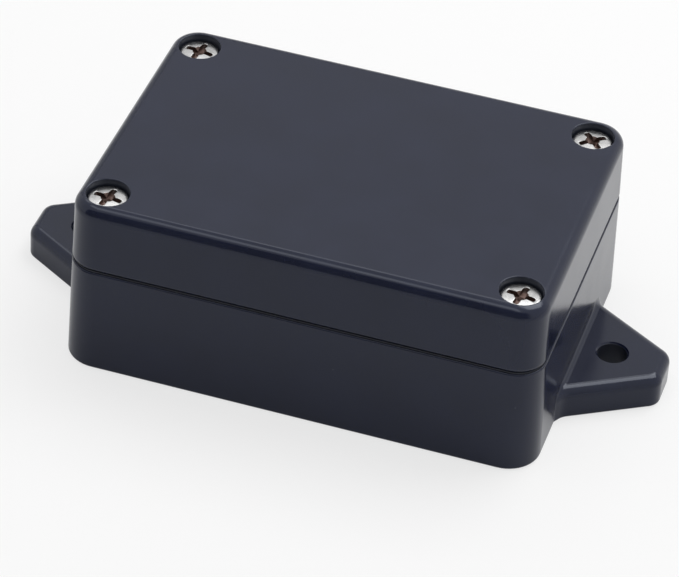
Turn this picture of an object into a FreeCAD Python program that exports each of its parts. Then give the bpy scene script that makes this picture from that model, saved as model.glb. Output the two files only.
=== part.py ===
import FreeCAD, Part
import math
import os
import Sketcher

# Plastic project box with two mounting ears: a moulded base, a moulded lid on a
# gasket, four pan-head screws and the four brass inserts that they turn into.
# Lengths are in millimetres. The origin is the centre of the underside, X runs
# along the box from ear to ear, Y across it and Z up.

DRIVING_SIZES = [
    ("body_length", 83.0, "box along X at the gap between base and lid, without the ears"),
    ("body_width", 58.0, "box along Y at the gap between base and lid"),
    ("body_height", 33.0, "underside to the top of the lid"),
    ("corner_radius", 5.4, "upright corners of the box"),
    ("lid_height", 12.6, "lid from its lower edge to its top"),
    ("parting_gap", 0.3, "shadow gap between base and lid"),
    ("base_draft_angle", 1.5, "degrees that the base walls lean out towards the foot"),
    ("lid_draft_angle", 2.0, "degrees that the lid walls lean in towards the top"),
    ("lid_edge_radius", 2.1, "rounded rim of the lid top"),
    ("lid_foot_radius", 0.8, "rounded lower edge of the lid"),
    ("base_rim_radius", 0.3, "rounded upper edge of the base"),
    ("bottom_edge_radius", 0.5, "rounded lower rim of the base"),
    ("floor_thickness", 2.5, "floor of the base"),
    ("lid_top_thickness", 2.6, "roof of the lid"),
    ("inside_edge_radius", 0.6, "hollow edges of the floor and the roof"),
    ("outer_lip", 0.8, "wall outside the gasket groove"),
    ("groove_width", 1.4, "gasket groove"),
    ("inner_lip", 0.8, "wall inside the gasket groove"),
    ("groove_depth", 2.4, "gasket groove below the base rim"),
    ("nook_radius", 1.5, "blend between a wall and a corner post"),
    ("gasket_height", 1.2, "gasket in its groove, pressed by the lid"),
    ("gasket_clearance", 0.05, "gasket to each side of the groove"),
    ("tongue_clearance", 0.2, "lid tongue to each side of the groove"),
    ("screw_inset_x", 5.65, "screw axis to the end of the box"),
    ("screw_inset_y", 6.05, "screw axis to the side of the box"),
    ("post_wall", 1.0, "post wall between insert and groove"),
    ("clamp_pad_clearance", 0.05, "clamp pad of the lid to the post top"),
    ("screw_diameter", 4.0, "screw shank over its thread"),
    ("screw_length", 16.0, "screw under its head"),
    ("screw_point_height", 0.6, "chamfered end of the shank"),
    ("head_diameter", 7.0, "pan head"),
    ("head_height", 2.4, "pan head at its crown"),
    ("head_side_height", 2.0, "upright side of the pan head"),
    ("head_shoulder", 0.6, "rounded rim of the pan head"),
    ("recess_span", 4.7, "cross recess from tip to tip"),
    ("recess_slot_width", 1.05, "one arm of the cross recess"),
    ("recess_slot_depth", 1.1, "arms of the cross recess"),
    ("recess_pit_depth", 1.9, "point of the cross recess"),
    ("recess_pit_diameter", 2.2, "mouth of the pit in the cross"),
    ("counterbore_depth", 3.3, "screw seat below the top of the lid"),
    ("counterbore_clearance", 0.2, "counterbore to the screw head"),
    ("counterbore_edge_radius", 0.2, "rounded mouth of the counterbore"),
    ("screw_hole_clearance", 0.2, "lid hole and post bore to the screw shank"),
    ("thread_clearance", 0.06, "insert bore to the screw shank"),
    ("insert_diameter", 5.6, "brass insert"),
    ("insert_length", 7.0, "brass insert"),
    ("insert_groove_depth", 0.3, "waist of the insert"),
    ("insert_groove_length", 1.6, "waist of the insert"),
    ("insert_chamfer", 0.3, "ends of the insert"),
    ("post_bore_depth", 11.0, "blind bore from the post top"),
    ("ear_reach", 16.0, "ear from the end wall of the box to its tip"),
    ("ear_thickness", 6.0, "mounting ears"),
    ("ear_root_width", 27.8, "ear across its root, without the flare"),
    ("ear_root_flare", 1.8, "flare at the root, along the ear side and along the wall"),
    ("ear_flare_radius", 3.0, "hollow bend where the flare starts"),
    ("ear_tip_width", 8.0, "ear across its tip, corners unrounded"),
    ("ear_tip_radius", 2.7, "upright corners of the ear tip"),
    ("ear_edge_radius", 1.8, "rounded rim of the ear top"),
    ("ear_root_radius", 1.0, "hollow blend between ear and box"),
    ("ear_hole_offset", 6.4, "mounting hole to the end wall of the box"),
    ("ear_hole_diameter", 5.2, "mounting hole"),
    ("ear_hole_edge", 0.3, "chamfer at the mouth of a mounting hole"),
    ("ear_skin", 2.4, "top skin of the cored ear"),
    ("ear_wall", 2.0, "side wall of the cored ear"),
    ("ear_boss_wall", 1.9, "tube round the mounting hole"),
    ("ear_rib_width", 1.6, "ribs under the ear"),
    ("standoff_inset_x", 13.5, "circuit board support to the inner face of the end wall"),
    ("standoff_inset_y", 6.0, "circuit board support to the inner face of the side wall"),
    ("standoff_diameter", 5.0, "circuit board support"),
    ("standoff_height", 4.0, "circuit board support above the floor"),
    ("standoff_hole_diameter", 2.4, "pilot hole of a support"),
    ("standoff_hole_depth", 5.0, "pilot hole of a support"),
    ("standoff_fillet", 0.6, "foot of a support"),
]

UPRIGHT = FreeCAD.Vector(0, 0, 1)

# How far a point may be from a place and still count as being there.
SLACK = 0.002

doc = FreeCAD.newDocument("project_box")
sheet = doc.addObject("Spreadsheet::Sheet", "Sizes")
for row, (alias, size, note) in enumerate(DRIVING_SIZES, start=1):
    sheet.set(f"A{row}", alias)
    sheet.set(f"B{row}", str(size))
    sheet.setAlias(f"B{row}", alias)
    sheet.set(f"C{row}", note)
doc.recompute()


def size_of(expression):
    """The value of an expression over the sheet's sizes."""
    return float(sheet.evalExpression(expression))


# Sizes that follow from the driving ones, as expressions.
HALF_LENGTH = "Sizes.body_length / 2"
HALF_WIDTH = "Sizes.body_width / 2"
WALL = "(Sizes.outer_lip + Sizes.groove_width + Sizes.inner_lip)"
BASE_HEIGHT = "(Sizes.body_height - Sizes.lid_height - Sizes.parting_gap)"
FOOT_SPREAD = f"({BASE_HEIGHT} * tan(Sizes.base_draft_angle))"
LID_BOTTOM = "(Sizes.body_height - Sizes.lid_height)"
GROOVE_FLOOR = f"({BASE_HEIGHT} - Sizes.groove_depth)"
TONGUE_LENGTH = "(Sizes.parting_gap + Sizes.groove_depth - Sizes.gasket_height)"
POST_RADIUS = f"(Sizes.insert_diameter / 2 + Sizes.post_wall + Sizes.groove_width + Sizes.inner_lip)"
SCREW_X = f"({HALF_LENGTH} - Sizes.screw_inset_x)"
SCREW_Y = f"({HALF_WIDTH} - Sizes.screw_inset_y)"
SCREW_SEAT = "(Sizes.body_height - Sizes.counterbore_depth)"
EAR_TIP = f"({HALF_LENGTH} + Sizes.ear_reach)"
EAR_HOLE_X = f"({HALF_LENGTH} + Sizes.ear_hole_offset)"
SCREW_HOLE_RADIUS = "(Sizes.screw_diameter / 2 + Sizes.screw_hole_clearance)"
EAR_CORE_HEIGHT = "(Sizes.ear_thickness - Sizes.ear_skin)"
CORNERS = ((1, 1), (-1, 1), (-1, -1), (1, -1))


def origin_plane(body, role):
    """One of a body's own origin planes, by its role."""
    for feature in body.Origin.OriginFeatures:
        if feature.Role == role:
            return feature
    raise ValueError(role)


def new_sketch(body, name, role="XY_Plane", height="0"):
    """A sketch on an origin plane of its own body, lifted along the plane's normal."""
    sketch = body.newObject("Sketcher::SketchObject", name)
    sketch.AttachmentSupport = [(origin_plane(body, role), "")]
    sketch.MapMode = "FlatFace"
    sketch.setExpression("AttachmentOffset.Base.z", height)
    return sketch


def bind(sketch, name, expression, *definition):
    """A dimension of a sketch, named and tied to an expression over the sheet."""
    index = sketch.addConstraint(Sketcher.Constraint(*definition, size_of(expression)))
    sketch.renameConstraint(index, name)
    sketch.setExpression(f"Constraints.{name}", expression)


def add_circle(sketch, name, x, y, radius):
    """A circle whose centre and radius are tied to expressions."""
    centre = FreeCAD.Vector(size_of(x), size_of(y), 0)
    index = sketch.addGeometry(Part.Circle(centre, UPRIGHT, size_of(radius)), False)
    bind(sketch, f"{name}_x", x, "DistanceX", -1, 1, index, 3)
    bind(sketch, f"{name}_y", y, "DistanceY", -1, 1, index, 3)
    bind(sketch, f"{name}_radius", radius, "Radius", index)


def add_polygon(sketch, name, corners):
    """A closed polygon with every corner tied to a pair of expressions."""
    points = [FreeCAD.Vector(size_of(x), size_of(y), 0) for x, y in corners]
    first = sketch.GeometryCount
    count = len(points)
    for i, point in enumerate(points):
        sketch.addGeometry(Part.LineSegment(point, points[(i + 1) % count]), False)
    for i, (x, y) in enumerate(corners):
        after = first + (i + 1) % count
        sketch.addConstraint(Sketcher.Constraint("Coincident", first + i, 2, after, 1))
        bind(sketch, f"{name}_x{i + 1}", x, "DistanceX", -1, 1, first + i, 1)
        bind(sketch, f"{name}_y{i + 1}", y, "DistanceY", -1, 1, first + i, 1)


def add_path(sketch, elements):
    """A closed path of (geometry, start point, end point), tangent at every joint."""
    indices = [sketch.addGeometry(geometry, False) for geometry, _, _ in elements]
    for i, (_, _, end) in enumerate(elements):
        after = (i + 1) % len(elements)
        start = elements[after][1]
        sketch.addConstraint(Sketcher.Constraint("Tangent", indices[i], end, indices[after], start))
    return indices


def arc_between(centre, first, last):
    """The counter-clockwise arc about a centre from one point to another."""
    radius = centre.distanceToPoint(first)
    turn_to = [math.atan2(point.y - centre.y, point.x - centre.x) for point in (first, last)]
    if turn_to[1] <= turn_to[0]:
        turn_to[1] += 2 * math.pi
    return Part.ArcOfCircle(Part.Circle(centre, UPRIGHT, radius), turn_to[0], turn_to[1])


def hold_walls(sketch, name, walls, half_x, half_y):
    """Walls as (line, corner at its end): level or upright, each at its distance."""
    for line, (sx, sy) in walls:
        if sx == sy:
            side = "end" if sx > 0 else "far_end"
            sketch.addConstraint(Sketcher.Constraint("Vertical", line))
            bind(sketch, f"{name}_{side}", f"{sx} * ({half_x})", "DistanceX", -1, 1, line, 1)
        else:
            side = "back" if sy > 0 else "front"
            sketch.addConstraint(Sketcher.Constraint("Horizontal", line))
            bind(sketch, f"{name}_{side}", f"{sy} * ({half_y})", "DistanceY", -1, 1, line, 1)


def add_rounded_rectangle(sketch, name, half_x, half_y, radius):
    """A rectangle about the origin with rounded corners."""
    x = size_of(half_x)
    y = size_of(half_y)
    r = size_of(radius)
    bends = []
    for sx, sy in CORNERS:
        centre = FreeCAD.Vector(sx * (x - r), sy * (y - r), 0)
        on_end = centre + FreeCAD.Vector(sx * r, 0, 0)
        on_side = centre + FreeCAD.Vector(0, sy * r, 0)
        bends.append((centre, on_end, on_side) if sx == sy else (centre, on_side, on_end))
    elements = []
    for i, (centre, first, last) in enumerate(bends):
        before = bends[i - 1][2]
        elements.append((Part.LineSegment(before, first), 1, 2))
        elements.append((arc_between(centre, first, last), 1, 2))
    indices = add_path(sketch, elements)
    hold_walls(sketch, name, list(zip(indices[0::2], CORNERS)), half_x, half_y)
    arcs = indices[1::2]
    bind(sketch, f"{name}_radius", radius, "Radius", arcs[0])
    for arc in arcs[1:]:
        sketch.addConstraint(Sketcher.Constraint("Equal", arcs[0], arc))


def add_sealed_outline(sketch, name, offset):
    """The outline of the inside, stepped in round the four posts, grown by an offset.

    The walls move out and the posts shrink by the same offset, so that the groove,
    the gasket and the tongue all run parallel to the inside.
    """
    half_x = f"({HALF_LENGTH} - {WALL} + {offset})"
    half_y = f"({HALF_WIDTH} - {WALL} + {offset})"
    post = f"({POST_RADIUS} - ({offset}))"
    nook = f"(Sizes.nook_radius + {offset})"
    wall_x = size_of(half_x)
    wall_y = size_of(half_y)
    post_x = size_of(SCREW_X)
    post_y = size_of(SCREW_Y)
    post_r = size_of(post)
    nook_r = size_of(nook)
    reach = post_r + nook_r
    nook_x = wall_x - nook_r
    nook_y = wall_y - nook_r
    drop = math.sqrt(reach ** 2 - (post_x - nook_x) ** 2)
    slip = math.sqrt(reach ** 2 - (post_y - nook_y) ** 2)
    bends = []
    for sx, sy in CORNERS:
        centre = FreeCAD.Vector(sx * post_x, sy * post_y, 0)
        end_nook = FreeCAD.Vector(sx * nook_x, sy * (post_y - drop), 0)
        side_nook = FreeCAD.Vector(sx * (post_x - slip), sy * nook_y, 0)
        on_end = end_nook + FreeCAD.Vector(sx * nook_r, 0, 0)
        on_side = side_nook + FreeCAD.Vector(0, sy * nook_r, 0)
        end_meet = centre + (end_nook - centre) * (post_r / reach)
        side_meet = centre + (side_nook - centre) * (post_r / reach)
        if sx == sy:
            bends.append((centre, end_nook, side_nook, on_end, end_meet, side_meet, on_side))
        else:
            bends.append((centre, side_nook, end_nook, on_side, side_meet, end_meet, on_end))
    elements = []
    for i, (centre, first_nook, last_nook, start, meet, leave, finish) in enumerate(bends):
        before = bends[i - 1][6]
        elements.append((Part.LineSegment(before, start), 1, 2))
        elements.append((arc_between(first_nook, start, meet), 1, 2))
        elements.append((arc_between(centre, leave, meet), 2, 1))
        elements.append((arc_between(last_nook, leave, finish), 1, 2))
    indices = add_path(sketch, elements)
    hold_walls(sketch, name, list(zip(indices[0::4], CORNERS)), half_x, half_y)
    posts = indices[2::4]
    nooks = indices[1::4] + indices[3::4]
    bind(sketch, f"{name}_post_radius", post, "Radius", posts[0])
    bind(sketch, f"{name}_nook_radius", nook, "Radius", nooks[0])
    for arc in posts[1:]:
        sketch.addConstraint(Sketcher.Constraint("Equal", posts[0], arc))
    for arc in nooks[1:]:
        sketch.addConstraint(Sketcher.Constraint("Equal", nooks[0], arc))
    for arc, (sx, sy) in zip(posts, CORNERS):
        label = corner_name(sx, sy)
        bind(sketch, f"{name}_{label}_x", f"{sx} * {SCREW_X}", "DistanceX", -1, 1, arc, 3)
        bind(sketch, f"{name}_{label}_y", f"{sy} * {SCREW_Y}", "DistanceY", -1, 1, arc, 3)


def corner_name(sx, sy):
    """A plain name for one of the four corners of the box."""
    return ("back" if sy > 0 else "front") + "_" + ("right" if sx > 0 else "left")


def extrude(body, kind, name, sketch, length, downwards=False, taper="0"):
    """A pad or a pocket of a sketch, its length tied to an expression."""
    feature = body.newObject(f"PartDesign::{kind}", name)
    feature.Profile = sketch
    feature.setExpression("Length", length)
    if taper != "0":
        feature.setExpression("TaperAngle", taper)
    feature.Reversed = downwards if kind == "Pad" else not downwards
    doc.recompute()
    return feature


def edges_where(feature, test):
    """Names of the edges of a feature whose middle and ends pass a test."""
    names = []
    for index, edge in enumerate(feature.Shape.Edges, start=1):
        middle = edge.valueAt((edge.FirstParameter + edge.LastParameter) / 2)
        ends = [vertex.Point for vertex in edge.Vertexes]
        if test(middle, ends + [middle]):
            names.append(f"Edge{index}")
    return names


def round_edges(body, name, base, test, radius, kind="Fillet"):
    """A fillet or chamfer on the edges of a feature that pass a test."""
    names = edges_where(base, test)
    if not names:
        raise ValueError(f"{name}: no edge to round")
    feature = body.newObject(f"PartDesign::{kind}", name)
    feature.Base = (base, names)
    feature.setExpression("Radius" if kind == "Fillet" else "Size", radius)
    doc.recompute()
    return feature


def near(value, expression):
    """Whether a coordinate equals an expression."""
    return abs(value - size_of(expression)) < SLACK


def at_height(expression):
    """A test for edges that lie level at a height."""
    return lambda middle, points: all(near(point.z, expression) for point in points)


def rectangle(x_first, x_last, y_first, y_last):
    """The corners of a rectangle, as pairs of expressions."""
    return [(x_first, y_first), (x_last, y_first), (x_last, y_last), (x_first, y_last)]


def add_corner_circles(sketch, x, y, radius):
    """One circle in each quarter, at the same distances from the middle."""
    for sx, sy in CORNERS:
        add_circle(sketch, corner_name(sx, sy), f"{sx} * ({x})", f"{sy} * ({y})", radius)


def add_seal_ring(sketch, clearance):
    """The ring of the gasket groove, made narrower by a clearance on both sides."""
    add_sealed_outline(sketch, "inner", f"(Sizes.inner_lip + {clearance})")
    add_sealed_outline(sketch, "outer", f"(Sizes.inner_lip + Sizes.groove_width - {clearance})")


def make_base():
    """The moulded base: an open tray with corner posts, a seal groove and two ears."""
    body = doc.addObject("PartDesign::Body", "base")
    body.Label = "base"

    # The ears are one plate that runs through the box, so that their rounded rims
    # reach into its end walls. Each flares at its root, as steeply as halfway between
    # its own side and the wall.
    slant = "((Sizes.ear_root_width - Sizes.ear_tip_width) / 2 / Sizes.ear_reach)"
    side_length = f"sqrt(1 + {slant} ^ 2)"
    flare_x = f"({HALF_LENGTH} + Sizes.ear_root_flare / {side_length})"
    flare_half = f"(Sizes.ear_root_width / 2 - {slant} * Sizes.ear_root_flare / {side_length})"
    root_half = "(Sizes.ear_root_width / 2 + Sizes.ear_root_flare)"
    inside_x = f"({HALF_LENGTH} - {WALL})"
    inside_half = f"({root_half} + {WALL} * ({slant} + {side_length}))"
    tip_half = "Sizes.ear_tip_width / 2"
    right_back = [(EAR_TIP, tip_half), (flare_x, flare_half), (inside_x, inside_half)]
    left_back = [(f"-{x}", y) for x, y in reversed(right_back)]
    left_front = [(f"-{x}", f"-{y}") for x, y in right_back]
    right_front = [(x, f"-{y}") for x, y in reversed(right_back)]
    ear_outline = new_sketch(body, "ear_outline")
    add_polygon(ear_outline, "ears", right_back + left_back + left_front + right_front)
    ears = extrude(body, "Pad", "ears", ear_outline, "Sizes.ear_thickness")

    def at_ear_tip(middle, points):
        upright = near(abs(middle.x), EAR_TIP) and near(abs(middle.y), tip_half)
        return upright and SLACK < middle.z

    def at_ear_flare(middle, points):
        upright = near(abs(middle.x), flare_x) and near(abs(middle.y), flare_half)
        return upright and SLACK < middle.z

    tips = round_edges(body, "ear_tips", ears, at_ear_tip, "Sizes.ear_tip_radius")
    flares = round_edges(body, "ear_flares", tips, at_ear_flare, "Sizes.ear_flare_radius")
    round_edges(
        body, "ear_rims", flares, at_height("Sizes.ear_thickness"), "Sizes.ear_edge_radius")

    outline = new_sketch(body, "base_outline", height=BASE_HEIGHT)
    add_rounded_rectangle(outline, "box", HALF_LENGTH, HALF_WIDTH, "Sizes.corner_radius")
    block = extrude(
        body, "Pad", "base_block", outline, BASE_HEIGHT, downwards=True,
        taper="Sizes.base_draft_angle")

    def at_ear_root(middle, points):
        reach = [abs(point.x) - size_of(HALF_LENGTH) for point in points]
        on_wall = min(reach) > -SLACK and max(reach) < size_of(FOOT_SPREAD) + SLACK
        low = SLACK < middle.z < size_of("Sizes.ear_thickness") + SLACK
        across = abs(middle.y) < size_of(root_half) + SLACK
        return on_wall and low and across

    roots = round_edges(body, "ear_roots", block, at_ear_root, "Sizes.ear_root_radius")
    foot = round_edges(body, "bottom_rim", roots, at_height("0"), "Sizes.bottom_edge_radius")
    round_edges(body, "base_rim", foot, at_height(BASE_HEIGHT), "Sizes.base_rim_radius")

    # The inside, with its corners stepped in round the posts, and the seal groove.
    inside_outline = new_sketch(body, "inside_outline", height=BASE_HEIGHT)
    add_sealed_outline(inside_outline, "inside", "0")
    inside_depth = f"{BASE_HEIGHT} - Sizes.floor_thickness"
    inside_cut = extrude(body, "Pocket", "inside", inside_outline, inside_depth, downwards=True)
    round_edges(
        body, "floor_blend", inside_cut, at_height("Sizes.floor_thickness"),
        "Sizes.inside_edge_radius")
    groove_outline = new_sketch(body, "groove_outline", height=BASE_HEIGHT)
    add_seal_ring(groove_outline, "0")
    extrude(body, "Pocket", "groove", groove_outline, "Sizes.groove_depth", downwards=True)

    # Each post takes a brass insert, with a blind clearance bore under it.
    for name, radius, depth in (
        ("insert_seats", "Sizes.insert_diameter / 2", "Sizes.insert_length"),
        ("post_bores", SCREW_HOLE_RADIUS, "Sizes.post_bore_depth"),
    ):
        sketch = new_sketch(body, f"{name}_outline", height=BASE_HEIGHT)
        add_corner_circles(sketch, SCREW_X, SCREW_Y, radius)
        extrude(body, "Pocket", name, sketch, depth, downwards=True)

    # Four supports on the floor carry a circuit board.
    board_x = f"({HALF_LENGTH} - {WALL} - Sizes.standoff_inset_x)"
    board_y = f"({HALF_WIDTH} - {WALL} - Sizes.standoff_inset_y)"
    support_outline = new_sketch(body, "support_outline", height="Sizes.floor_thickness")
    add_corner_circles(support_outline, board_x, board_y, "Sizes.standoff_diameter / 2")
    supports = extrude(body, "Pad", "supports", support_outline, "Sizes.standoff_height")

    def at_support_foot(middle, points):
        offset = math.hypot(
            abs(middle.x) - size_of(board_x), abs(middle.y) - size_of(board_y))
        on_floor = near(middle.z, "Sizes.floor_thickness")
        return on_floor and near(offset, "Sizes.standoff_diameter / 2")

    round_edges(body, "support_feet", supports, at_support_foot, "Sizes.standoff_fillet")
    support_top = "Sizes.floor_thickness + Sizes.standoff_height"
    pilot_outline = new_sketch(body, "pilot_outline", height=support_top)
    add_corner_circles(pilot_outline, board_x, board_y, "Sizes.standoff_hole_diameter / 2")
    pilot_depth = "Sizes.standoff_hole_depth"
    extrude(body, "Pocket", "pilot_holes", pilot_outline, pilot_depth, downwards=True)

    # The ears are cored from below, which leaves a skin, side walls, a tube round
    # the mounting hole and two crossed ribs.
    wall_run = f"(Sizes.ear_wall * {side_length})"
    core_end = f"({EAR_TIP} - Sizes.ear_wall)"
    core_root = f"(Sizes.ear_root_width / 2 - {wall_run})"
    core_tip = f"({core_root} - {slant} * (Sizes.ear_reach - Sizes.ear_wall))"
    rib_reach = f"({core_root} + Sizes.ear_wall / 2 - {slant} * Sizes.ear_hole_offset)"
    rib_half = "Sizes.ear_rib_width / 2"
    core_outline = new_sketch(body, "ear_core_outline")
    long_rib_outline = new_sketch(body, "ear_long_rib_outline")
    cross_rib_outline = new_sketch(body, "ear_cross_rib_outline")
    boss_outline = new_sketch(body, "ear_boss_outline")
    hole_outline = new_sketch(body, "ear_hole_outline")
    for side, name in ((1, "right"), (-1, "left")):
        add_polygon(core_outline, f"core_{name}", [
            (f"{side} * {HALF_LENGTH}", f"-{core_root}"),
            (f"{side} * {core_end}", f"-{core_tip}"),
            (f"{side} * {core_end}", core_tip),
            (f"{side} * {HALF_LENGTH}", core_root),
        ])
        add_polygon(long_rib_outline, f"long_rib_{name}", rectangle(
            f"{side} * {HALF_LENGTH}", f"{side} * {core_end}", f"-{rib_half}", rib_half))
        add_polygon(cross_rib_outline, f"cross_rib_{name}", rectangle(
            f"{side} * ({EAR_HOLE_X} - {rib_half})", f"{side} * ({EAR_HOLE_X} + {rib_half})",
            f"-{rib_reach}", rib_reach))
        add_circle(
            boss_outline, f"boss_{name}", f"{side} * {EAR_HOLE_X}", "0",
            "Sizes.ear_hole_diameter / 2 + Sizes.ear_boss_wall")
        add_circle(
            hole_outline, f"hole_{name}", f"{side} * {EAR_HOLE_X}", "0",
            "Sizes.ear_hole_diameter / 2")
    extrude(body, "Pocket", "ear_cores", core_outline, EAR_CORE_HEIGHT)
    extrude(body, "Pad", "ear_long_ribs", long_rib_outline, EAR_CORE_HEIGHT)
    extrude(body, "Pad", "ear_cross_ribs", cross_rib_outline, EAR_CORE_HEIGHT)
    extrude(body, "Pad", "ear_bosses", boss_outline, EAR_CORE_HEIGHT)
    holes = extrude(body, "Pocket", "ear_holes", hole_outline, "Sizes.body_height")

    def at_hole_mouth(middle, points):
        offset = math.hypot(abs(middle.x) - size_of(EAR_HOLE_X), middle.y)
        on_top = near(middle.z, "Sizes.ear_thickness")
        return on_top and near(offset, "Sizes.ear_hole_diameter / 2")

    round_edges(
        body, "ear_hole_mouths", holes, at_hole_mouth, "Sizes.ear_hole_edge", kind="Chamfer")
    return body


def make_lid():
    """The moulded lid: drafted walls, a tongue for the groove and four sunk screw seats."""
    body = doc.addObject("PartDesign::Body", "lid")
    body.Label = "lid"

    outline = new_sketch(body, "lid_outline", height=LID_BOTTOM)
    add_rounded_rectangle(outline, "lid", HALF_LENGTH, HALF_WIDTH, "Sizes.corner_radius")
    block = extrude(
        body, "Pad", "lid_block", outline, "Sizes.lid_height", taper="-Sizes.lid_draft_angle")
    top = round_edges(body, "lid_rim", block, at_height("Sizes.body_height"), "Sizes.lid_edge_radius")
    round_edges(body, "lid_foot", top, at_height(LID_BOTTOM), "Sizes.lid_foot_radius")

    roof_outline = new_sketch(body, "roof_outline", height=LID_BOTTOM)
    add_sealed_outline(roof_outline, "roof", "0")
    roof_depth = "Sizes.lid_height - Sizes.lid_top_thickness"
    roof = extrude(body, "Pocket", "roof", roof_outline, roof_depth)
    round_edges(
        body, "roof_blend", roof, at_height("Sizes.body_height - Sizes.lid_top_thickness"),
        "Sizes.inside_edge_radius")
    tongue_outline = new_sketch(body, "tongue_outline", height=LID_BOTTOM)
    add_seal_ring(tongue_outline, "Sizes.tongue_clearance")
    extrude(body, "Pad", "tongue", tongue_outline, TONGUE_LENGTH, downwards=True)

    # Four low pads bridge the shadow gap, so that the screws clamp the lid on the posts.
    pad_outline = new_sketch(body, "clamp_pad_outline", height=LID_BOTTOM)
    pad_radius = "(Sizes.insert_diameter / 2 + Sizes.post_wall)"
    add_corner_circles(pad_outline, SCREW_X, SCREW_Y, pad_radius)
    pad_height = "Sizes.parting_gap - Sizes.clamp_pad_clearance"
    extrude(body, "Pad", "clamp_pads", pad_outline, pad_height, downwards=True)

    hole_outline = new_sketch(body, "screw_hole_outline", height="Sizes.body_height")
    add_corner_circles(hole_outline, SCREW_X, SCREW_Y, SCREW_HOLE_RADIUS)
    hole_depth = "Sizes.lid_height + Sizes.parting_gap"
    extrude(body, "Pocket", "screw_holes", hole_outline, hole_depth, downwards=True)
    seat_outline = new_sketch(body, "screw_seat_outline", height="Sizes.body_height")
    seat_radius = "Sizes.head_diameter / 2 + Sizes.counterbore_clearance"
    add_corner_circles(seat_outline, SCREW_X, SCREW_Y, seat_radius)
    seats = extrude(
        body, "Pocket", "screw_seats", seat_outline, "Sizes.counterbore_depth", downwards=True)

    def at_seat_mouth(middle, points):
        # The mouth lies in the flat top, and partly a little way down the rounded rim.
        for point in points:
            offset = math.hypot(
                abs(point.x) - size_of(SCREW_X), abs(point.y) - size_of(SCREW_Y))
            above_seat = point.z > size_of(SCREW_SEAT) + SLACK
            if not above_seat or not near(offset, seat_radius):
                return False
        return True

    round_edges(body, "seat_mouths", seats, at_seat_mouth, "Sizes.counterbore_edge_radius")
    return body


def make_gasket():
    """The soft ring that lies in the groove of the base under the lid's tongue."""
    body = doc.addObject("PartDesign::Body", "gasket")
    body.Label = "gasket"
    outline = new_sketch(body, "gasket_outline", height=GROOVE_FLOOR)
    add_seal_ring(outline, "Sizes.gasket_clearance")
    extrude(body, "Pad", "gasket_ring", outline, "Sizes.gasket_height")
    return body


def turn(body, kind, name, sketch):
    """A solid or a cut made by turning a sketch about the body's own upright axis."""
    feature = body.newObject(f"PartDesign::{kind}", name)
    feature.Profile = sketch
    feature.ReferenceAxis = (sketch, ["V_Axis"])
    feature.Angle = 360
    doc.recompute()
    return feature


def make_insert(corner):
    """A brass insert with a waist that locks it in the post."""
    name = f"insert_{corner_name(*corner)}"
    body = doc.addObject("PartDesign::Body", name)
    body.Label = name
    outer = "Sizes.insert_diameter / 2"
    bore = "Sizes.screw_diameter / 2 + Sizes.thread_clearance"
    chamfer = "Sizes.insert_chamfer"
    waist = f"{outer} - Sizes.insert_groove_depth"
    waist_top = "-(Sizes.insert_length - Sizes.insert_groove_length) / 2"
    waist_end = "-(Sizes.insert_length + Sizes.insert_groove_length) / 2"
    sketch = new_sketch(body, f"{name}_profile", role="XZ_Plane")
    add_polygon(sketch, "profile", [
        (bore, "-Sizes.insert_length"),
        (f"{outer} - {chamfer}", "-Sizes.insert_length"),
        (outer, f"-Sizes.insert_length + {chamfer}"),
        (outer, waist_end),
        (waist, waist_end),
        (waist, waist_top),
        (outer, waist_top),
        (outer, f"-{chamfer}"),
        (f"{outer} - {chamfer}", "0"),
        (bore, "0"),
    ])
    turn(body, "Revolution", f"{name}_turned", sketch)
    place(body, corner, BASE_HEIGHT)
    return body


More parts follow.
